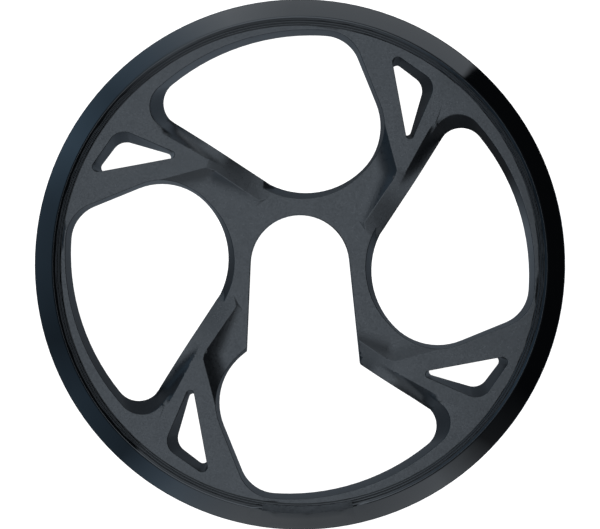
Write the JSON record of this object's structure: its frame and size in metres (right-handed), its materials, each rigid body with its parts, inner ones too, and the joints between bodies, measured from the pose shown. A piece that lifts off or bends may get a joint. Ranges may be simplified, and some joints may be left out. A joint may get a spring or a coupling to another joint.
{
  "type": "bicycle chain guard",
  "caption": "Round black plastic chain guard with a polished bevelled rim, swept spokes round open windows, and an open slot in its hub that fits round a bicycle's crank arm.",
  "frame": {"origin": "on the crank axis, at the level of the back face", "axes": "+Z along the crank axis and out of the front face; -Y along the crank arm, which leaves through the slot"},
  "size_m": [0.208, 0.208, 0.0097],
  "materials": {
    "black_plastic": "fine matte grain on spokes and hub, polished bevel round the rim"
  },
  "bodies": {
    "root": {"chain_guard": "black_plastic"}
  },
  "joints": []
}
